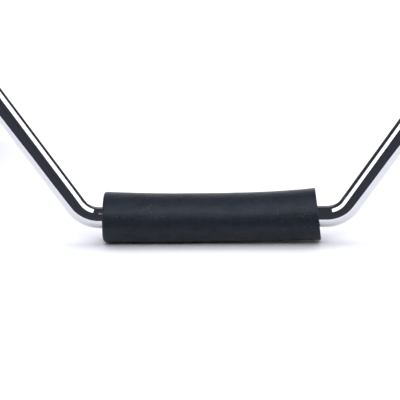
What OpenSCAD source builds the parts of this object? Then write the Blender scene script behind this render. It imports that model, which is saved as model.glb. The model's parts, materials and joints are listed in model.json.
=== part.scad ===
// Wall-mounted fold-up pull-up bar: one bent rod with a low close grip in the
// middle and two wide grips, carried by two hinged arms on wall brackets.
// X runs along the bar, Y towards the wall, Z up. The origin is the middle of
// the footprint, level with the underside of the middle grip. Millimetres.

/* [Bar] */
// Diameter of the solid rod
rod_d = 20; // [16:1:25]
// Bend radius of the rod's centre line
bend_r = 25; // [22:1:40]
// Distance between the two lower corners, measured at the centre line
corner_span = 227; // [225:1:300]
// Height from the middle grip's axis up to the wide grips' axis
drop = 180; // [140:10:240]
// Angle of the sloping lengths above the horizontal
slope = 55.5; // [45:0.5:65]
// How far the rod runs past each wide grip
rod_stub = 6; // [4:1:10]

/* [Grips] */
// Outer diameter of the sleeves
grip_d = 44; // [36:1:50]
// Length of the middle sleeve
grip_len = 190; // [150:5:195]
// How far the middle sleeve sits towards -X
grip_shift = 2.2; // [0:0.1:3]
// Length of each wide sleeve
wide_grip_len = 190; // [150:5:240]
// Length of the plastic caps on the rod's ends
cap_len = 10; // [8:1:14]

/* [Arms] */
// Distance between the middles of the two arms
arm_span = 610; // [560:1:740]
// Distance from the wall to the bar's axis
reach = 400; // [330:1:480]
// Outer size of the square arm tube
arm_w = 40; // [35:1:45]
// Wall of the square arm tube
arm_t = 3; // [2:0.5:4]
// Outer size of the square strut tube
strut_w = 30; // [25:1:35]
// Wall of the square strut tube
strut_t = 2.5; // [2:0.5:4]
// Distance from the wall to where the strut's axis meets the arm
strut_reach = 262; // [220:5:290]
// Height of the strut's foot above the base
foot_z = 42; // [30:1:50]

/* [Clamps] */
// Width of each clamp, along the bar
clamp_w = 40; // [36:1:60]
// Height of each clamp
clamp_h = 62; // [58:1:70]
// Depth of the welded half of a clamp
saddle_depth = 22; // [20:1:30]
// Depth of the removable half of a clamp
clamp_cap_depth = 18; // [16:1:20]
// Thread diameter of the clamp screws
screw_d = 6; // [5:1:6]

/* [Wall brackets] */
// Width of each wall plate
plate_w = 100; // [95:1:130]
// Thickness of each wall plate
plate_t = 6; // [5:1:10]
// Height of each wall plate above the arm's axis
plate_rise = 68; // [66:1:90]
// Thickness of the ears
ear_t = 6; // [5:1:8]
// Height of the ears above and below the pivot
ear_half_h = 54; // [52:1:60]
// Distance from the wall plate's face to the pivot
pivot_gap = 36; // [34:1:44]
// Diameter of the holes for wall bolts
wall_hole_d = 9; // [7:0.5:11]
// Distance of the wall bolt holes from the plate's edges
wall_hole_edge = 12; // [10:1:13]

/* [Pivot and lock] */
// Diameter of the pivot bolt
bolt_d = 12; // [10:1:12]
// Outer diameter of the steel sleeve on the pivot bolt
sleeve_d = 16; // [15:0.5:18]
// Thickness of the bush flanges
flange_t = 1.5; // [1:0.5:2]
// Diameter of the lock pin
pin_d = 10; // [8:1:10]
// Distance of the lock pin holes from the pivot
pin_offset = 41; // [40:1:44]

/* [Hidden] */
$fn = 64;
eps = 0.01;
fit = 0.05;          // radial clearance of a running fit
seat = 0.02;         // radial clearance of a tight seat
loose = 0.25;        // radial clearance of a bolt in its hole
side_play = 0.25;    // gap between a bush flange and its ear
foot_play = 0.2;     // gap between a foot and its rubber stop at rest
split_gap = 1;       // gap between the two halves of a clamp
corner_r = 3;        // rounding of clamp and tube corners
lap = 1;             // overlap of the rod's lengths with its bends
bend_thin = 0.1;     // how much less the rod's radius is in a bend
past = 1;            // how far a cut runs past the face it opens

rod_r = rod_d / 2;
grip_r = grip_d / 2;
low_z = grip_r;
high_z = low_z + drop;
corner_x = corner_span / 2;
top_corner_x = corner_x + drop / tan(slope);
bend_len = bend_r * tan(slope / 2);
arm_x = arm_span / 2;
grip_gap = 5;
wide_grip_x = arm_x + clamp_w / 2 + grip_gap;
rod_end_x = wide_grip_x + wide_grip_len + rod_stub;

depth = reach + max(grip_r, clamp_cap_depth);
wall_y = depth / 2;
bar_y = wall_y - reach;
plate_y = wall_y - plate_t;
pivot_y = plate_y - pivot_gap;
plate_h = high_z + plate_rise;

arm_front_y = bar_y + saddle_depth;
arm_past_pivot = 2;
arm_rear_y = pivot_y + arm_w / 2 + arm_past_pivot;
arm_under_z = high_z - arm_w / 2;
ear_gap = arm_w + 2 * (flange_t + side_play);
ear_outer = ear_gap / 2 + ear_t;

bumper_t = 8;
bumper_d = 30;
bumper_stem_d = 9;
bumper_stem_short = 1;
foot_t = 5;
foot_side = 4;
foot_over = 6;
foot_y = plate_y - bumper_t - foot_play - foot_t;
strut_angle = atan2(arm_under_z - foot_z, strut_reach - (wall_y - foot_y));

plug_lip = 2;
plug_depth = 7;

washer_t = 2.5;
washer_d = 24;
head_h = 7.5;
head_af = 18;
nut_h = 10;
nut_collar_h = 3;
nut_collar_d = head_af - 1;
bolt_past_nut = 3;
bush_wall = 2.5;
flange_d = 30;
bush_len = 12;
lock_hole_d = pin_d + 1;
pin_reach = 3;
collar_t = 4;
collar_d = 16;
neck_len = 4;
neck_d = 8;
knob_hub_wall = 4;
knob_h = 20;
knob_d = 32;
knob_bore_depth = 14;
knob_head_h = 12;
knob_edge_r = knob_head_h / 2;

screw_margin = 9;
screw_x = clamp_w / 2 - screw_margin;
screw_z = clamp_h / 2 - screw_margin;
screw_head_d = screw_d * 5 / 3;
screw_head_room = 1;
screw_in = 16;

cap_d = grip_d - 2;
cap_cover = 3;
cap_gap = 1;

BLACK = [0.07, 0.07, 0.08];
GRAPHITE = [0.16, 0.16, 0.17];
CHROME = [0.82, 0.83, 0.85];
ZINC = [0.66, 0.67, 0.68];

SIDES = [["left", -1], ["right", 1]];
SIDE_NODES = [
    "outer_grip", "end_cap", "clamp_saddle", "clamp_cap", "clamp_screws",
    "support_arm", "brace_strut", "strut_foot", "arm_plug",
    "wall_bracket", "foot_bumper", "pivot_bolt", "pivot_sleeve",
    "pivot_bushes", "pivot_washers", "pivot_nut", "lock_pin", "lock_pin_knob"
];

// A shape drawn on the +X side is mirrored for the left side.
module on_side(side) {
    mirror([side < 0 ? 1 : 0, 0, 0]) children();
}

// A cylinder along X, from x0 to x1, at the given place in Y and Z.
module rod_x(d, x0, x1, y, z) {
    translate([x0, y, z]) rotate([0, 90, 0]) cylinder(d = d, h = x1 - x0);
}

// A cylinder along Y, from y0 to y1, at the given place in X and Z.
module rod_y(d, y0, y1, x, z) {
    translate([x, y0, z]) rotate([-90, 0, 0]) cylinder(d = d, h = y1 - y0);
}

// A box given by its low and high corners.
module block(low, high) {
    translate(low) cube(high - low);
}

// A square with rounded corners, centred.
module soft_square(w, h, r) {
    square([w - 2 * r, h], center = true);
    square([w, h - 2 * r], center = true);
    for (x = [-1, 1], z = [-1, 1])
        translate([x * (w / 2 - r), z * (h / 2 - r)]) circle(r = r);
}

// A square tube along Y, centred on X and Z.
module square_tube(w, t, length) {
    rotate([-90, 0, 0]) linear_extrude(length) difference() {
        soft_square(w, w, corner_r);
        square(w - 2 * t, center = true);
    }
}

// ---- Bar ----

// A quarter-turn or less of the rod, starting at the given angle. It is drawn a
// little thinner than the straight lengths, which overlap its ends.
module rod_bend(x, z, start) {
    translate([x, bar_y, z]) rotate([90, 0, 0]) rotate([0, 0, start])
        rotate_extrude(angle = slope) translate([bend_r, 0]) circle(d = rod_d - 2 * bend_thin);
}

// One side of the rod: half of the low length, two bends and the high length.
module rod_side() {
    slope_len = drop / sin(slope) - 2 * bend_len + 2 * lap;
    rod_x(rod_d, -lap, corner_x - bend_len + lap, bar_y, low_z);
    rod_bend(corner_x - bend_len, low_z + bend_r, -90);
    translate([corner_x, bar_y, low_z]) rotate([0, 90 - slope, 0])
        translate([0, 0, bend_len - lap]) cylinder(d = rod_d, h = slope_len);
    rod_bend(top_corner_x + bend_len, high_z - bend_r, 90);
    rod_x(rod_d, top_corner_x + bend_len - lap, rod_end_x, bar_y, high_z);
}

module bar_rod() {
    color(CHROME) {
        rod_side();
        mirror([1, 0, 0]) rod_side();
    }
}

// A rubber sleeve from x0 to x1 at the height z.
module sleeve(x0, x1, z) {
    color(BLACK) difference() {
        rod_x(grip_d, x0, x1, bar_y, z);
        rod_x(rod_d + 2 * seat, x0 - past, x1 + past, bar_y, z);
    }
}

module centre_grip() {
    sleeve(-grip_len / 2 - grip_shift, grip_len / 2 - grip_shift, low_z);
}

module outer_grip() {
    sleeve(wide_grip_x, wide_grip_x + wide_grip_len, high_z);
}

module end_cap() {
    start = wide_grip_x + wide_grip_len + cap_gap;
    color(BLACK) difference() {
        union() {
            rod_x(cap_d, start, start + cap_len - cap_cover, bar_y, high_z);
            rod_x(cap_d - 2 * cap_cover, start, start + cap_len, bar_y, high_z);
            translate([start + cap_len - cap_cover, bar_y, high_z]) rotate([0, 90, 0])
                rotate_extrude() translate([cap_d / 2 - cap_cover, 0]) circle(r = cap_cover);
        }
        rod_x(rod_d + 2 * seat, start - cap_cover - past, rod_end_x + seat, bar_y, high_z);
        block([start - cap_cover - past, bar_y - cap_d, high_z - cap_d],
              [start, bar_y + cap_d, high_z + cap_d]);
    }
}

// ---- Clamps ----

// One half of a clamp between two Y planes, bored for the rod.
module clamp_half(y0, y1) {
    difference() {
        translate([arm_x, y1, high_z]) rotate([90, 0, 0])
            linear_extrude(y1 - y0) soft_square(clamp_w, clamp_h, corner_r);
        rod_x(rod_d + 2 * seat, arm_x - clamp_w, arm_x + clamp_w, bar_y, high_z);
        children();
    }
}

// Repeats a shape at the four screws of one clamp.
module at_screws() {
    for (x = [-1, 1], z = [-1, 1])
        translate([arm_x + x * screw_x, 0, high_z + z * screw_z]) children();
}

module clamp_saddle() {
    color(GRAPHITE) clamp_half(bar_y + split_gap / 2, arm_front_y)
        at_screws() rod_y(screw_d, bar_y, bar_y + screw_in + past, 0, 0);
}

module clamp_cap() {
    front = bar_y - clamp_cap_depth;
    color(GRAPHITE) clamp_half(front, bar_y - split_gap / 2) {
        at_screws() rod_y(screw_d + 2 * loose, front - past, bar_y, 0, 0);
        at_screws() rod_y(screw_head_d + screw_head_room, front - past, front + screw_d, 0, 0);
    }
}

module clamp_screws() {
    head_y = bar_y - clamp_cap_depth;
    color(ZINC) at_screws() difference() {
        union() {
            rod_y(screw_head_d, head_y, head_y + screw_d, 0, 0);
            rod_y(screw_d, head_y + screw_d, bar_y + screw_in, 0, 0);
        }
        translate([0, head_y - eps, 0]) rotate([-90, 0, 0])
            cylinder(d = screw_d, h = screw_d / 2, $fn = 6);
    }
}

// ---- Arms ----

module support_arm() {
    color(GRAPHITE) difference() {
        translate([arm_x, arm_front_y, high_z])
            square_tube(arm_w, arm_t, arm_rear_y - arm_front_y);
        rod_x(sleeve_d + 2 * (fit + bush_wall), arm_x - arm_w, arm_x + arm_w, pivot_y, high_z);
        rod_x(lock_hole_d, arm_x - arm_w, arm_x + arm_w, pivot_y - pin_offset, high_z);
    }
}

module brace_strut() {
    long = reach;
    color(GRAPHITE) difference() {
        translate([arm_x, foot_y, foot_z]) rotate([-strut_angle, 0, 0])
            translate([0, -long, 0]) square_tube(strut_w, strut_t, long + strut_w);
        block([arm_x - arm_w, bar_y - reach, arm_under_z],
              [arm_x + arm_w, wall_y, high_z + reach]);
        block([arm_x - arm_w, foot_y, -arm_w], [arm_x + arm_w, wall_y + arm_w, high_z]);
    }
}

module strut_foot() {
    color(GRAPHITE) translate([arm_x, foot_y + foot_t, foot_z]) rotate([90, 0, 0])
        linear_extrude(foot_t)
            soft_square(strut_w + 2 * foot_side, strut_w + 2 * foot_over, corner_r);
}

module arm_plug() {
    inner = arm_w - 2 * arm_t;
    color(BLACK) {
        translate([arm_x, arm_rear_y + plug_lip, high_z]) rotate([90, 0, 0])
            linear_extrude(plug_lip) soft_square(arm_w, arm_w, corner_r);
        block([arm_x - inner / 2 + seat, arm_rear_y - plug_depth, high_z - inner / 2 + seat],
              [arm_x + inner / 2 - seat, arm_rear_y, high_z + inner / 2 - seat]);
    }
}

// ---- Wall brackets ----

// An ear's outline in Y and Z: square at the plate, chamfered at the front.
module ear_outline() {
    nose = 20;
    chamfer = 16;
    polygon([
        [plate_y, high_z - ear_half_h],
        [pivot_y - nose + chamfer, high_z - ear_half_h],
        [pivot_y - nose, high_z - ear_half_h + chamfer],
        [pivot_y - nose, high_z + ear_half_h - chamfer],
        [pivot_y - nose + chamfer, high_z + ear_half_h],
        [plate_y, high_z + ear_half_h]
    ]);
}

module wall_bracket() {
    hole_x = plate_w / 2 - wall_hole_edge;
    color(GRAPHITE) difference() {
        union() {
            translate([arm_x, wall_y, plate_h / 2]) rotate([90, 0, 0])
                linear_extrude(plate_t) soft_square(plate_w, plate_h, 2 * corner_r);
            for (x = [-ear_outer, ear_gap / 2])
                translate([arm_x + x, 0, 0]) rotate([90, 0, 90])
                    linear_extrude(ear_t) ear_outline();
        }
        for (x = [-hole_x, hole_x], z = [2 * wall_hole_edge, plate_h - wall_hole_edge])
            rod_y(wall_hole_d, plate_y - past, wall_y + past, arm_x + x, z);
        rod_y(bumper_stem_d, plate_y - past, wall_y + past, arm_x, foot_z);
        rod_x(bolt_d + 2 * loose, arm_x - plate_w, arm_x + plate_w, pivot_y, high_z);
        for (z = [-pin_offset, pin_offset])
            rod_x(pin_d + 2 * fit, arm_x - plate_w, arm_x + plate_w, pivot_y, high_z + z);
    }
}

module foot_bumper() {
    color(BLACK) {
        rod_y(bumper_d, plate_y - bumper_t, plate_y, arm_x, foot_z);
        rod_y(bumper_stem_d - 2 * seat, plate_y, wall_y - bumper_stem_short, arm_x, foot_z);
    }
}

// ---- Pivot ----

module pivot_bolt() {
    under_head = arm_x + ear_outer + washer_t;
    tip = arm_x - ear_outer - washer_t - nut_h - bolt_past_nut;
    color(ZINC) {
        rod_x(bolt_d, tip, under_head, pivot_y, high_z);
        translate([under_head, pivot_y, high_z]) rotate([0, 90, 0])
            cylinder(d = head_af / cos(30), h = head_h, $fn = 6);
    }
}

// A tube along X between two planes.
module tube_x(d_out, d_in, x0, x1) {
    difference() {
        rod_x(d_out, x0, x1, pivot_y, high_z);
        rod_x(d_in, x0 - past, x1 + past, pivot_y, high_z);
    }
}

module pivot_sleeve() {
    color(ZINC) tube_x(sleeve_d, bolt_d + 2 * loose, arm_x - ear_gap / 2, arm_x + ear_gap / 2);
}

module pivot_bushes() {
    bore = sleeve_d + 2 * fit;
    face = arm_w / 2;
    color(BLACK) for (side = [-1, 1]) translate([arm_x, 0, 0])
        mirror([side < 0 ? 1 : 0, 0, 0]) difference() {
            union() {
                rod_x(flange_d, face, face + flange_t, pivot_y, high_z);
                rod_x(bore + 2 * bush_wall, face - bush_len, face, pivot_y, high_z);
            }
            rod_x(bore, face - bush_len - past, face + flange_t + past, pivot_y, high_z);
        }
}

module pivot_washers() {
    color(ZINC) {
        tube_x(washer_d, bolt_d + 2 * loose, arm_x + ear_outer, arm_x + ear_outer + washer_t);
        tube_x(washer_d, bolt_d + 2 * loose, arm_x - ear_outer - washer_t, arm_x - ear_outer);
    }
}

module pivot_nut() {
    far = arm_x - ear_outer - washer_t;
    color(ZINC) difference() {
        union() {
            translate([far - nut_h + nut_collar_h, pivot_y, high_z]) rotate([0, 90, 0])
                cylinder(d = head_af / cos(30), h = nut_h - nut_collar_h, $fn = 6);
            rod_x(nut_collar_d, far - nut_h, far - nut_h + nut_collar_h, pivot_y, high_z);
        }
        rod_x(bolt_d, far - nut_h - past, far + past, pivot_y, high_z);
    }
}

// ---- Lock pin, in its parking holes below the pivot ----

module lock_pin() {
    z = high_z - pin_offset;
    face = arm_x + ear_outer + side_play;
    color(ZINC) {
        rod_x(pin_d, arm_x - ear_outer - pin_reach, face, pivot_y, z);
        rod_x(collar_d, face, face + collar_t, pivot_y, z);
        rod_x(neck_d, face + collar_t, face + collar_t + neck_len + knob_bore_depth, pivot_y, z);
    }
}

module lock_pin_knob() {
    z = high_z - pin_offset;
    start = arm_x + ear_outer + side_play + collar_t + neck_len;
    head_from = start + knob_h - knob_head_h;
    color(BLACK) difference() {
        union() {
            rod_x(neck_d + 2 * knob_hub_wall, start, head_from + knob_edge_r, pivot_y, z);
            rod_x(knob_d - knob_head_h, head_from, start + knob_h, pivot_y, z);
            translate([head_from + knob_edge_r, pivot_y, z]) rotate([0, 90, 0])
                rotate_extrude() translate([knob_d / 2 - knob_edge_r, 0]) circle(r = knob_edge_r);
        }
        rod_x(neck_d, start - past, start + knob_bore_depth, pivot_y, z);
    }
}

// ---- Nodes ----

bar_rod();
centre_grip();
for (side = SIDES) on_side(side[1]) {
    tail = str("_", side[0]);
    outer_grip();
    end_cap();
    clamp_saddle();
    clamp_cap();
    clamp_screws();
    support_arm();
    brace_strut();
    strut_foot();
    arm_plug();
    wall_bracket();
    foot_bumper();
    pivot_bolt();
    pivot_sleeve();
    pivot_bushes();
    pivot_washers();
    pivot_nut();
    lock_pin();
    lock_pin_knob();
}
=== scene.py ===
"""The looks of a wall-mounted pull-up bar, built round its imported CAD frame. Lengths are in metres."""
import json
import math

import bpy
from mathutils import Matrix, Vector, noise


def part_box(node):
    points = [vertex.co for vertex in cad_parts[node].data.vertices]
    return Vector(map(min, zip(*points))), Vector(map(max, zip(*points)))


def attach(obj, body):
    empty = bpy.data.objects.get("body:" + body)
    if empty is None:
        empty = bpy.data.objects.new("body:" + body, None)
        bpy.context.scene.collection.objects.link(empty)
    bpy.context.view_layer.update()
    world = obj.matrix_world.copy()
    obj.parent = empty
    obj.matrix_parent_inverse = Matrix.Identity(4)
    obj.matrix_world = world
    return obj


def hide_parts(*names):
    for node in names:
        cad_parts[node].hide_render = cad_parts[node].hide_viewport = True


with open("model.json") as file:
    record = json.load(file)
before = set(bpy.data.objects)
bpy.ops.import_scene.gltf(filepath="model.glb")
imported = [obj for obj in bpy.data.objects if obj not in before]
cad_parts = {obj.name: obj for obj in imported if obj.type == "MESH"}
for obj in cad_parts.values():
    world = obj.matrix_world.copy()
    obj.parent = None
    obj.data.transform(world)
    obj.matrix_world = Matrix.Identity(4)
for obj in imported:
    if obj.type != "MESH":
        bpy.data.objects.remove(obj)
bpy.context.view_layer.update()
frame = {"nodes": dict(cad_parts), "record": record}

# ---- Places, read from the frame ----

GRIP_LOW, GRIP_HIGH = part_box("centre_grip")
ROD_LOW, ROD_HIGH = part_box("bar_rod")
GRIP_R = (GRIP_HIGH.z - GRIP_LOW.z) / 2
BAR_Y = (GRIP_LOW.y + GRIP_HIGH.y) / 2
ROD_R = (ROD_HIGH.y - ROD_LOW.y) / 2
LOW_Z = ROD_LOW.z + ROD_R
HIGH_Z = ROD_HIGH.z - ROD_R
ROD_END_X = ROD_HIGH.x

# ---- The rod's bends, as in the CAD source ----

CORNER_X = 0.1135
SLOPE = math.radians(55.5)
BEND_R = 0.025

# ---- Floor ----

FLOOR_Z = -0.0014        # a little under the CAD's lowest point, as the sleeves sag below it

# ---- Camera ----

CAMERA_AZIMUTH = math.radians(1.5)
CAMERA_ELEVATION = math.radians(15.8)
CAMERA_DISTANCE = 1.5
CAMERA_ROLL = math.radians(-0.75)
AIM_ASIDE = -0.0113      # the picture's middle, from the rod's middle, along X
AIM_ABOVE = 0.0152       # and along Z
VIEW_WIDTH = 0.3531      # width of the picture at the rod, in metres


# ---- Materials ----

def new_material(name):
    """An empty node material with its output."""
    mat = bpy.data.materials.new(name)
    mat.use_nodes = True
    nt = mat.node_tree
    nt.nodes.clear()
    out = nt.nodes.new("ShaderNodeOutputMaterial")
    bsdf = nt.nodes.new("ShaderNodeBsdfPrincipled")
    nt.links.new(bsdf.outputs["BSDF"], out.inputs["Surface"])
    return mat, nt, bsdf


def add_noise(nt, scale, detail=3.0, stretch=(1, 1, 1), roughness=0.5):
    """Noise over the object's own coordinates, in metres, stretched along its axes."""
    coords = nt.nodes.new("ShaderNodeTexCoord")
    mapping = nt.nodes.new("ShaderNodeMapping")
    mapping.inputs["Scale"].default_value = stretch
    tex = nt.nodes.new("ShaderNodeTexNoise")
    tex.inputs["Scale"].default_value = scale
    tex.inputs["Detail"].default_value = detail
    tex.inputs["Roughness"].default_value = roughness
    nt.links.new(coords.outputs["Object"], mapping.inputs["Vector"])
    nt.links.new(mapping.outputs["Vector"], tex.inputs["Vector"])
    return tex.outputs["Fac"]


def add_specks(nt, scale, size):
    """Small sparse dots: 1 on a dot and 0 elsewhere."""
    coords = nt.nodes.new("ShaderNodeTexCoord")
    tex = nt.nodes.new("ShaderNodeTexVoronoi")
    tex.inputs["Scale"].default_value = scale
    nt.links.new(coords.outputs["Object"], tex.inputs["Vector"])
    return add_range(nt, tex.outputs["Distance"], size, size * 0.6, 0.0, 1.0)


def add_range(nt, value, low, high, out_low, out_high):
    """Maps a value from one range to another, held at its ends."""
    node = nt.nodes.new("ShaderNodeMapRange")
    node.inputs["From Min"].default_value = low
    node.inputs["From Max"].default_value = high
    node.inputs["To Min"].default_value = out_low
    node.inputs["To Max"].default_value = out_high
    nt.links.new(value, node.inputs["Value"])
    return node.outputs["Result"]


def add_mix(nt, factor, first, second):
    """A colour between two, each a colour or a socket."""
    node = nt.nodes.new("ShaderNodeMix")
    node.data_type = "RGBA"
    nt.links.new(factor, node.inputs["Factor"])
    for name, value in (("A", first), ("B", second)):
        socket = [s for s in node.inputs if s.name == name and s.type == "RGBA"][0]
        if isinstance(value, tuple):
            socket.default_value = (*value, 1.0)
        else:
            nt.links.new(value, socket)
    return [s for s in node.outputs if s.type == "RGBA"][0]


def add_product(nt, first, second):
    """Two values multiplied."""
    node = nt.nodes.new("ShaderNodeMath")
    node.operation = "MULTIPLY"
    nt.links.new(first, node.inputs[0])
    nt.links.new(second, node.inputs[1])
    return node.outputs["Value"]


def add_bump(nt, bsdf, height, depth, before=None):
    """Surface relief from a height between 0 and 1, with its depth in metres."""
    node = nt.nodes.new("ShaderNodeBump")
    node.inputs["Distance"].default_value = depth
    nt.links.new(height, node.inputs["Height"])
    if before is not None:
        nt.links.new(before, node.inputs["Normal"])
    nt.links.new(node.outputs["Normal"], bsdf.inputs["Normal"])
    return node.outputs["Normal"]


def chrome():
    """Polished chrome plate: nearly a mirror, with faint cloudiness."""
    mat, nt, bsdf = new_material("polished_chrome")
    bsdf.inputs["Metallic"].default_value = 1.0
    cloud = add_noise(nt, 45, 4)
    colour = add_mix(nt, cloud, (0.668, 0.671, 0.684), (0.693, 0.696, 0.709))
    nt.links.new(colour, bsdf.inputs["Base Color"])
    nt.links.new(add_range(nt, cloud, 0.3, 0.7, 0.025, 0.06), bsdf.inputs["Roughness"])
    return mat


def rubber():
    """Dense black rubber: mottled, matt, with a few pale specks and fine grain."""
    mat, nt, bsdf = new_material("sleeve_rubber")
    blotch = add_noise(nt, 130, 5, (0.6, 1, 1), 0.65)
    grain = add_noise(nt, 1100, 3)
    hoops = add_noise(nt, 260, 2, (4, 0.12, 0.12))
    clusters = add_range(nt, add_noise(nt, 60, 1), 0.60, 0.64, 0, 1)
    flecks = add_range(nt, add_noise(nt, 420, 4, roughness=0.7), 0.42, 0.72, 0, 0.6)
    specks = add_product(nt, add_specks(nt, 300, 0.13), clusters)
    tone = add_range(nt, blotch, 0.35, 0.68, 0, 1)
    mottled = add_mix(nt, tone, (0.0041, 0.0056, 0.0094), (0.0086, 0.0112, 0.0170))
    mottled = add_mix(nt, flecks, mottled, (0.0145, 0.0180, 0.0250))
    nt.links.new(add_mix(nt, specks, mottled, (0.085, 0.09, 0.10)), bsdf.inputs["Base Color"])
    nt.links.new(add_range(nt, blotch, 0.3, 0.7, 0.54, 0.44), bsdf.inputs["Roughness"])
    relief = add_bump(nt, bsdf, blotch, 0.0005)
    relief = add_bump(nt, bsdf, hoops, 0.00010, relief)
    add_bump(nt, bsdf, grain, 0.00012, relief)
    bsdf.inputs["Specular IOR Level"].default_value = 0.27
    bsdf.inputs["Specular Tint"].default_value = (0.80, 0.88, 1.0, 1)
    return mat


def powder_coat():
    """Satin black powder coat with its fine pebbled skin."""
    mat, nt, bsdf = new_material("black_powder_coat")
    pebble = add_noise(nt, 1400, 2)
    drift = add_noise(nt, 25, 3)
    colour = add_mix(nt, drift, (0.030, 0.031, 0.034), (0.042, 0.043, 0.047))
    nt.links.new(colour, bsdf.inputs["Base Color"])
    nt.links.new(add_range(nt, drift, 0.3, 0.7, 0.36, 0.46), bsdf.inputs["Roughness"])
    add_bump(nt, bsdf, pebble, 0.00012)
    return mat


def zinc():
    """Bright zinc plate on fasteners, with faint turning marks."""
    mat, nt, bsdf = new_material("zinc_plate")
    bsdf.inputs["Metallic"].default_value = 1.0
    cloud = add_noise(nt, 220, 4)
    colour = add_mix(nt, cloud, (0.52, 0.53, 0.55), (0.70, 0.71, 0.72))
    nt.links.new(colour, bsdf.inputs["Base Color"])
    nt.links.new(add_range(nt, cloud, 0.3, 0.7, 0.22, 0.36), bsdf.inputs["Roughness"])
    add_bump(nt, bsdf, add_noise(nt, 700, 2, (3, 0.4, 0.4)), 0.00004)
    return mat


def plastic(name, dark, light, rough):
    """Moulded plastic with a fine spark texture."""
    mat, nt, bsdf = new_material(name)
    tone = add_noise(nt, 60, 3)
    nt.links.new(add_mix(nt, tone, dark, light), bsdf.inputs["Base Color"])
    nt.links.new(add_range(nt, tone, 0.3, 0.7, rough, rough + 0.08), bsdf.inputs["Roughness"])
    add_bump(nt, bsdf, add_noise(nt, 1800, 2), 0.00005)
    return mat


MATERIALS = {
    "chrome": chrome(),
    "rubber": rubber(),
    "powder_coat": powder_coat(),
    "zinc": zinc(),
    "black_plastic": plastic("black_plastic", (0.018, 0.018, 0.019), (0.026, 0.026, 0.028), 0.34),
    "stop_rubber": plastic("stop_rubber", (0.014, 0.014, 0.015), (0.024, 0.024, 0.025), 0.62),
    "bush_plastic": plastic("bush_plastic", (0.52, 0.50, 0.44), (0.60, 0.58, 0.52), 0.40),
}


# ---- Mesh helpers ----

def add_mesh(name, points, faces, slot, body, smooth=True):
    """A new piece that rides on a body and takes its finish from a slot."""
    mesh = bpy.data.meshes.new(name)
    mesh.from_pydata([tuple(p) for p in points], [], faces)
    mesh.update()
    for face in mesh.polygons:
        face.use_smooth = smooth
    obj = bpy.data.objects.new(name, mesh)
    bpy.context.scene.collection.objects.link(obj)
    mesh.materials.append(MATERIALS[slot])
    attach(obj, body)
    return obj


def loft(rings, closed=False):
    """Points and faces of a skin over rings that each have the same number of points."""
    sides = len(rings[0])
    points = [p for ring in rings for p in ring]
    spans = len(rings) if closed else len(rings) - 1
    faces = []
    for i in range(spans):
        a = i * sides
        b = ((i + 1) % len(rings)) * sides
        for k in range(sides):
            n = (k + 1) % sides
            faces.append((a + k, a + n, b + n, b + k))
    if not closed:
        faces.append(tuple(range(sides))[::-1])
        last = (len(rings) - 1) * sides
        faces.append(tuple(range(last, last + sides)))
    return points, faces


# ---- The rod ----

def rod_path(step=math.radians(2.5)):
    """(place, direction, radius) of the rod's rings, from its left end to its right end."""
    bend_len = BEND_R * math.tan(SLOPE / 2)
    top_x = CORNER_X + (HIGH_Z - LOW_Z) / math.tan(SLOPE)
    turns = round(SLOPE / step)
    chamfer = 0.0012
    half = []
    low_centre = Vector((CORNER_X - bend_len, 0, LOW_Z + BEND_R))
    high_centre = Vector((top_x + bend_len, 0, HIGH_Z - BEND_R))
    for i in range(turns + 1):
        a = SLOPE * i / turns
        place = low_centre + Vector((math.sin(a), 0, -math.cos(a))) * BEND_R
        half.append((place, a, ROD_R))
    for i in range(turns + 1):
        a = SLOPE * (1 - i / turns)
        place = high_centre + Vector((-math.sin(a), 0, math.cos(a))) * BEND_R
        half.append((place, a, ROD_R))
    half.append((Vector((ROD_END_X - chamfer, 0, HIGH_Z)), 0, ROD_R))
    half.append((Vector((ROD_END_X, 0, HIGH_Z)), 0, ROD_R - chamfer))
    other = [(Vector((-p.x, 0, p.z)), -a, r) for p, a, r in reversed(half)]
    return other + half


def make_rod(sides=96):
    """The bent rod, with smooth bends."""
    rings = []
    for place, a, radius in rod_path():
        up = Vector((-math.sin(a), 0, math.cos(a)))
        ring = []
        for k in range(sides):
            turn = 2 * math.pi * k / sides
            offset = up * math.cos(turn) * radius + Vector((0, math.sin(turn) * radius, 0))
            ring.append(place + offset + Vector((0, BAR_Y, 0)))
        rings.append(ring)
    rod = add_mesh("chrome_rod", *loft(rings), "chrome", "swing_frame")
    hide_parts("bar_rod")


# ---- Rubber sleeves ----

WAIST = 0.0004           # how much a sleeve draws in at its middle
SAG = 0.0009             # how far its middle hangs below the rod's axis
LEFT_SPREAD = 0.0009     # growth in radius from the middle to the rounded end
LEFT_RISE = 0.0009       # and the rise of that end
RIGHT_SPREAD = 0.0014    # the same for the cut end
RIGHT_RISE = 0.0027
CUT_SLANT = 0.115        # lean of the cut end, across the height
END_LEAN = 0.02          # lean of the other end, across the height
END_TRIM = 0.0007        # how far short the other end is cut
END_TURN = 0.02          # lean of the other end, towards the front
ROUNDED_EDGE = 0.0024    # edge radius of the rounded end
CUT_EDGE = 0.0006        # and of the cut end
BORE_GAP = 0.00015       # radial gap between a sleeve's bore and the rod
SWELL = 0.00016          # height of the rubber's slow unevenness
RIPPLE = 0.00007         # and of its finer unevenness
SWELLS_ALONG = 28        # noise cells per metre of length
SWELLS_ROUND = 1.1       # radius, in noise cells, of the circle that stands for one turn
FINER = 4                # how many times closer the ripple lies


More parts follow.
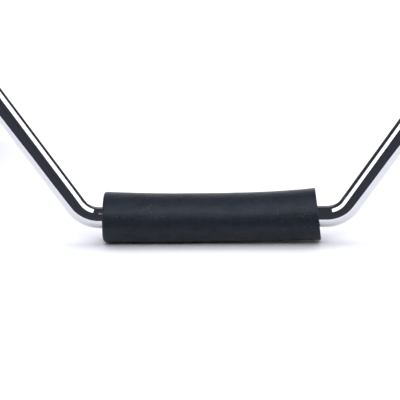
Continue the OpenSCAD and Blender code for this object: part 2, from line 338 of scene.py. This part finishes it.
def sleeve_ring(u, turn, axis_z, x, inset, seed):
    """A point of a sleeve's outside at the share u of its length, -1 to 1, and the angle turn."""
    left, right = max(-u, 0), max(u, 0)
    radius = GRIP_R - WAIST + LEFT_SPREAD * left ** 3 + RIGHT_SPREAD * right ** 2
    across, up = math.cos(turn) * SWELLS_ROUND, math.sin(turn) * SWELLS_ROUND + seed
    where = Vector((x * SWELLS_ALONG, across, up))
    radius += SWELL * noise.noise(where) + RIPPLE * noise.noise(where * FINER) - inset
    y, z = -math.sin(turn) * radius, math.cos(turn) * radius
    lean = right ** 6 * (-CUT_SLANT * z) + left ** 6 * (END_TRIM + END_LEAN * z + END_TURN * y)
    rise = LEFT_RISE * left ** 3 + RIGHT_RISE * right ** 2 - SAG
    return Vector((x + lean, BAR_Y + y, axis_z + z + rise))


def make_sleeve(node, piece, seed, face_left, sides=112, spans=90):
    """A cut length of rubber tube, with its waist, its spread end and its rounded end."""
    low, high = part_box(node)
    axis_z = (low.z + high.z) / 2
    middle, half = (low.x + high.x) / 2, (high.x - low.x) / 2
    arc_steps = 6
    stations = []
    for side, edge in ((-1, ROUNDED_EDGE), (1, CUT_EDGE)):
        arc = []
        for i in range(arc_steps + 1):
            a = math.pi / 2 * i / arc_steps
            arc.append((side * (half - edge * (1 - math.sin(a))), edge * (1 - math.cos(a))))
        stations.append(arc)
    left_arc, right_arc = stations
    end_margin = 0.004
    inner = half - end_margin
    body = [(inner * (2 * i / spans - 1), 0.0) for i in range(spans + 1)]
    profile = left_arc[::-1] + body + right_arc
    rings = []
    for along, inset in profile:
        ring = []
        for k in range(sides):
            turn = 2 * math.pi * k / sides
            ring.append(sleeve_ring(along / half, turn, axis_z, along, inset, seed))
        rings.append(ring)
    bore = ROD_R + BORE_GAP
    bore_edge = 0.0005
    for along in (half, half - bore_edge, 0.5 * half, -0.5 * half, bore_edge - half, -half):
        right, left = max(along / half, 0) ** 6, max(-along / half, 0) ** 6
        ring = []
        for k in range(sides):
            turn = 2 * math.pi * k / sides
            y, z = -math.sin(turn) * bore, math.cos(turn) * bore
            lean = -CUT_SLANT * z * right + (END_TRIM + END_LEAN * z + END_TURN * y) * left
            ring.append(Vector((along + lean, BAR_Y + y, axis_z + z)))
        rings.append(ring)
    flip = -1 if face_left else 1
    moved = [[Vector((middle + flip * p.x, p.y, p.z)) for p in ring] for ring in rings]
    points, faces = loft(moved, closed=True)
    if face_left:
        faces = [f[::-1] for f in faces]
    sleeve = add_mesh(piece, points, faces, "rubber", "swing_frame")
    split = sleeve.modifiers.new("edges", "EDGE_SPLIT")
    split.split_angle = math.radians(50)
    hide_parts(node)


# ---- CAD nodes that stay, with softened edges and better finishes ----

def dress_nodes():
    """Gives every CAD node the material of its slot, and a small rounding on its edges where its slot has
    one.
    """
    slots = {s["node"]: s["material_slot"] for s in frame["record"]["subparts"]}
    rounding = {"powder_coat": 0.0007, "zinc": 0.0004, "black_plastic": 0.0006, "stop_rubber": 0.0010}
    for name, obj in frame["nodes"].items():
        slot = slots[name]
        if not obj.material_slots:
            obj.data.materials.append(None)
        for place in obj.material_slots:
            place.material = MATERIALS[slot]
        if slot in rounding:
            bevel = obj.modifiers.new("rounding", "BEVEL")
            bevel.width = rounding[slot]
            bevel.segments = 2
            bevel.limit_method = "ANGLE"
            bevel.angle_limit = math.radians(40)
            bevel.harden_normals = True


# ---- Welds ----

EAR_OUTER = 0.02775      # from the arm's middle to an ear's outer face, as in the CAD source
EAR_HALF_H = 0.054
PLATE_T = 0.006
STRUT_ANGLE = math.radians(29.97)
BEAD_R = 0.0019
BEAD_STEP = 0.0008       # between two rings of a bead
BEAD_RIPPLE = 0.13       # share of the radius that the regular ripple adds and takes
BEAD_DRIFT = 0.25        # and the share of the irregular one
RIPPLE_TURN = 1.5        # radians of ripple per ring
DRIFTS_PER_METRE = 130   # noise cells per metre of the irregular ripple
TIP_SHARE = 0.35         # radius of an open bead's ends, as a share


def walk(corners, closed):
    """Evenly spaced places along straight lines between corners."""
    places = []
    count = len(corners) if closed else len(corners) - 1
    for i in range(count):
        start, end = corners[i], corners[(i + 1) % len(corners)]
        steps = max(2, round((end - start).length / BEAD_STEP))
        places += [start.lerp(end, k / steps) for k in range(steps)]
    if not closed:
        places.append(corners[-1])
    return places


def bead(corners, normal, closed, seed, sides=10):
    """A rippled weld bead along corners; normal is square to the bead's whole run."""
    places = walk([Vector(c) for c in corners], closed)
    normal = Vector(normal)
    count = len(places)
    rings = []
    for i, place in enumerate(places):
        before = places[i - 1] if closed or i > 0 else place
        after = places[(i + 1) % count] if closed or i < count - 1 else place
        side = (after - before).normalized().cross(normal)
        drift = noise.noise(place * DRIFTS_PER_METRE + Vector((seed, 0, 0)))
        ripple = BEAD_RIPPLE * math.sin(i * RIPPLE_TURN) + BEAD_DRIFT * drift
        radius = BEAD_R * (1 + ripple)
        if not closed and i in (0, count - 1):
            radius *= TIP_SHARE
        rings.append([
            place + (side * math.cos(t) + normal * math.sin(t)) * radius
            for t in (2 * math.pi * k / sides for k in range(sides))
        ])
    return loft(rings, closed)


def add_welds(name, beads, body):
    """One piece made of several beads."""
    points, faces = [], []
    for bead_points, bead_faces in beads:
        start = len(points)
        points += bead_points
        faces += [tuple(start + k for k in face) for face in bead_faces]
    return add_mesh(name, points, faces, "powder_coat", body)


def make_welds(side, seed):
    """The beads of one arm with its strut, and of one wall bracket."""
    arm_low, arm_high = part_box(f"support_arm_{side}")
    strut_low, strut_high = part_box(f"brace_strut_{side}")
    plate_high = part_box(f"wall_bracket_{side}")[1]
    x0, x1 = arm_low.x, arm_high.x
    middle = (x0 + x1) / 2
    y = arm_low.y
    z0, z1 = arm_low.z, arm_high.z
    cut = 0.0022         # the tube's rounded corners, as chamfers
    arm_ring = [
        (x0 + cut, y, z0), (x1 - cut, y, z0), (x1, y, z0 + cut), (x1, y, z1 - cut),
        (x1 - cut, y, z1), (x0 + cut, y, z1), (x0, y, z1 - cut), (x0, y, z0 + cut),
    ]
    half = (strut_high.x - strut_low.x) / 2
    a, b = middle - half, middle + half
    front, rear = strut_low.y, strut_low.y + 2 * half / math.sin(STRUT_ANGLE)
    top_ring = [(a, front, z0), (b, front, z0), (b, rear, z0), (a, rear, z0)]
    foot_low, foot_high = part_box(f"strut_foot_{side}")
    centre_z = (foot_low.z + foot_high.z) / 2
    tall = half / math.cos(STRUT_ANGLE)
    foot_y = foot_low.y
    foot_ring = [
        (a, foot_y, centre_z - tall), (b, foot_y, centre_z - tall),
        (b, foot_y, centre_z + tall), (a, foot_y, centre_z + tall),
    ]
    add_welds(f"arm_welds_{side}", [
        bead(arm_ring, (0, 1, 0), True, seed),
        bead(top_ring, (0, 0, 1), True, seed + 1),
        bead(foot_ring, (0, 1, 0), True, seed + 2),
    ], "swing_frame")
    face = plate_high.y - PLATE_T
    axis_z = (arm_low.z + arm_high.z) / 2
    short = 0.002
    low, high = axis_z - EAR_HALF_H + short, axis_z + EAR_HALF_H - short
    beads = []
    for way in (-1, 1):
        x = middle + way * EAR_OUTER
        beads.append(bead([(x, face, low), (x, face, high)], (way, 0, 0), False, seed + 3 + way))
    add_welds(f"ear_welds_{side}", beads, "wall_brackets")


# ---- Floor, lights and camera ----

def add_floor():
    """A pale floor that runs far out on every side."""
    far = 12
    corners = [(-far, -far, 0), (far, -far, 0), (far, far, 0), (-far, far, 0)]
    mesh = bpy.data.meshes.new("floor")
    mesh.from_pydata(corners, [], [(0, 1, 2, 3)])
    floor = bpy.data.objects.new("floor", mesh)
    bpy.context.scene.collection.objects.link(floor)
    mat, nt, bsdf = new_material("pale_floor")
    bsdf.inputs["Base Color"].default_value = (0.86, 0.86, 0.875, 1)
    bsdf.inputs["Roughness"].default_value = 0.9
    bsdf.inputs["Specular IOR Level"].default_value = 0.1
    mesh.materials.append(mat)
    floor.location.z = FLOOR_Z


def add_panel(name, centre, size, strength, colour=(1, 1, 1), facing=(0, 0, -1)):
    """A flat panel light: size is its two sides in metres, and strength its radiance."""
    data = bpy.data.lights.new(name, "AREA")
    data.shape = "RECTANGLE"
    data.size, data.size_y = size
    data.energy = strength * size[0] * size[1] * math.pi
    data.color = colour
    lamp = bpy.data.objects.new(name, data)
    lamp.location = centre
    lamp.rotation_mode = "QUATERNION"
    lamp.rotation_quaternion = Vector(facing).to_track_quat("-Z", "Y")
    lamp.visible_camera = False
    bpy.context.scene.collection.objects.link(lamp)
    return lamp


def add_card(name, corners, colour, height):
    """A flat card near the floor that only mirrors see."""
    mesh = bpy.data.meshes.new(name)
    mesh.from_pydata([(x, y, height) for x, y in corners], [], [tuple(range(len(corners)))])
    card = bpy.data.objects.new(name, mesh)
    bpy.context.scene.collection.objects.link(card)
    mat = bpy.data.materials.new(name)
    mat.use_nodes = True
    nt = mat.node_tree
    nt.nodes.clear()
    out = nt.nodes.new("ShaderNodeOutputMaterial")
    glow = nt.nodes.new("ShaderNodeEmission")
    glow.inputs["Color"].default_value = (*colour, 1)
    nt.links.new(glow.outputs["Emission"], out.inputs["Surface"])
    mesh.materials.append(mat)
    for way in ("visible_camera", "visible_diffuse", "visible_shadow", "visible_transmission"):
        setattr(card, way, False)


def add_key():
    """A lamp in front and above, for the sleeves' sheen and the floor shadows; the chrome skips it."""
    steep = math.radians(42)
    distance = 1.5
    aside = 0.03
    back = Vector((0, -math.cos(steep), math.sin(steep)))
    centre = Vector((aside, BAR_Y, 0)) + distance * back
    key = add_panel("key", centre, size=(1.0, 0.6), strength=5.0, facing=-back)
    skips = bpy.data.collections.new("key_receivers")
    skips.objects.link(bpy.data.objects["chrome_rod"])
    key.light_linking.receiver_collection = skips
    skips.collection_objects[0].light_linking.link_state = "EXCLUDE"


def add_side_panels():
    """A sloping panel on each side, which mirrors see as the rod's white bands, with a dark gap above."""
    inner, outer = 0.22, 1.35
    low, high = 0.30, 1.25
    slope_len = math.hypot(outer - inner, high - low)
    for name, side, front, rear in (("left_panel", -1, -1.15, -0.16), ("right_panel", 1, -0.97, 0.07)):
        centre = (side * (inner + outer) / 2, BAR_Y + (front + rear) / 2, (low + high) / 2)
        facing = (-side * (high - low), 0, -(outer - inner))
        size = (rear - front, slope_len)
        panel = add_panel(name, centre, size, strength=2.1, facing=facing)
        panel.visible_diffuse = False


def add_rear_panels():
    """Two upright panels behind the rod, the upper one dim, that only mirrors see."""
    rear_y = BAR_Y + 1.1
    width = 1.9
    foot, middle, top = 0.02, 0.90, 2.7
    towards_rod = (0, -1, 0)
    centre = (0, rear_y, middle / 2 + foot)
    behind = add_panel("behind", centre, (width, middle), strength=1.7, facing=towards_rod)
    behind.visible_diffuse = False
    centre = (0, rear_y, (middle + top) / 2)
    size = (width, top - middle)
    above = add_panel("behind_above", centre, size, strength=0.22, facing=towards_rod)
    above.visible_diffuse = False


def add_overhead_panels():
    """A wide ceiling, mostly behind the rod, and a smaller panel under it; mirrors see neither."""
    pale_blue = (0.91, 0.92, 1.0)
    ceiling = add_panel("ceiling", (0, 7.3, 4.0), size=(20, 21.6), strength=1.46, colour=pale_blue)
    ceiling.visible_glossy = False
    centre = (0, BAR_Y + 0.55, 2.0)
    paler_blue = (0.93, 0.935, 1.0)
    tilted = (0, -0.26, -1)
    top = add_panel("top", centre, size=(2.4, 1.3), strength=1.10, colour=paler_blue, facing=tilted)
    top.visible_glossy = False


def add_dark_front():
    """A dark card on the floor in front, which the rod mirrors as part of its dark band."""
    far = 12
    edge = [
        (far, -0.110), (0.22, -0.110), (0.13, -0.060), (-0.15, -0.055), (-0.24, -0.095), (-far, -0.095),
    ]
    corners = [(-far, -far), (far, -far)] + [(x, BAR_Y + y) for x, y in edge]
    above_floor = 0.0004
    add_card("dark_front", corners, (0.05, 0.055, 0.072), FLOOR_Z + above_floor)


def add_world():
    """White to the eye, a dark studio in mirrors, and a little fill light."""
    world = bpy.data.worlds.new("studio")
    bpy.context.scene.world = world
    world.use_nodes = True
    nt = world.node_tree
    nt.nodes.clear()
    out = nt.nodes.new("ShaderNodeOutputWorld")
    path = nt.nodes.new("ShaderNodeLightPath")
    seen = nt.nodes.new("ShaderNodeBackground")
    seen.inputs["Color"].default_value = (1.0, 1.0, 1.0, 1)
    seen.inputs["Strength"].default_value = 1.05
    mirrored = nt.nodes.new("ShaderNodeBackground")
    mirrored.inputs["Color"].default_value = (0.046, 0.050, 0.064, 1)
    fill = nt.nodes.new("ShaderNodeBackground")
    fill.inputs["Color"].default_value = (0.9, 0.95, 1.0, 1)
    fill.inputs["Strength"].default_value = 0.10
    shiny = nt.nodes.new("ShaderNodeMixShader")
    whole = nt.nodes.new("ShaderNodeMixShader")
    nt.links.new(path.outputs["Is Glossy Ray"], shiny.inputs[0])
    nt.links.new(fill.outputs[0], shiny.inputs[1])
    nt.links.new(mirrored.outputs[0], shiny.inputs[2])
    nt.links.new(path.outputs["Is Camera Ray"], whole.inputs[0])
    nt.links.new(shiny.outputs[0], whole.inputs[1])
    nt.links.new(seen.outputs[0], whole.inputs[2])
    nt.links.new(whole.outputs[0], out.inputs["Surface"])


def add_camera():
    """The camera, a little above the middle grip and a little to its right."""
    data = bpy.data.cameras.new("camera")
    data.sensor_width = 36
    data.lens = data.sensor_width * CAMERA_DISTANCE / VIEW_WIDTH
    camera = bpy.data.objects.new("camera", data)
    aim = Vector((AIM_ASIDE, BAR_Y, LOW_Z + AIM_ABOVE))
    back = Vector((
        math.sin(CAMERA_AZIMUTH) * math.cos(CAMERA_ELEVATION),
        -math.cos(CAMERA_AZIMUTH) * math.cos(CAMERA_ELEVATION),
        math.sin(CAMERA_ELEVATION),
    ))
    camera.location = aim + back * CAMERA_DISTANCE
    camera.rotation_mode = "QUATERNION"
    level = (-back).to_track_quat("-Z", "Y")
    camera.rotation_quaternion = level @ Matrix.Rotation(CAMERA_ROLL, 3, "Z").to_quaternion()
    data.clip_end = 50
    bpy.context.scene.collection.objects.link(camera)
    bpy.context.scene.camera = camera


add_camera()
dress_nodes()
make_rod()
make_sleeve("centre_grip", "middle_sleeve", 0.0, face_left=False)
make_sleeve("outer_grip_right", "right_sleeve", 7.3, face_left=False)
make_sleeve("outer_grip_left", "left_sleeve", 15.1, face_left=True)
make_welds("left", 3)
make_welds("right", 40)
add_floor()
add_side_panels()
add_rear_panels()
add_overhead_panels()
add_dark_front()
add_key()
add_world()
bpy.context.scene.view_settings.view_transform = "Standard"
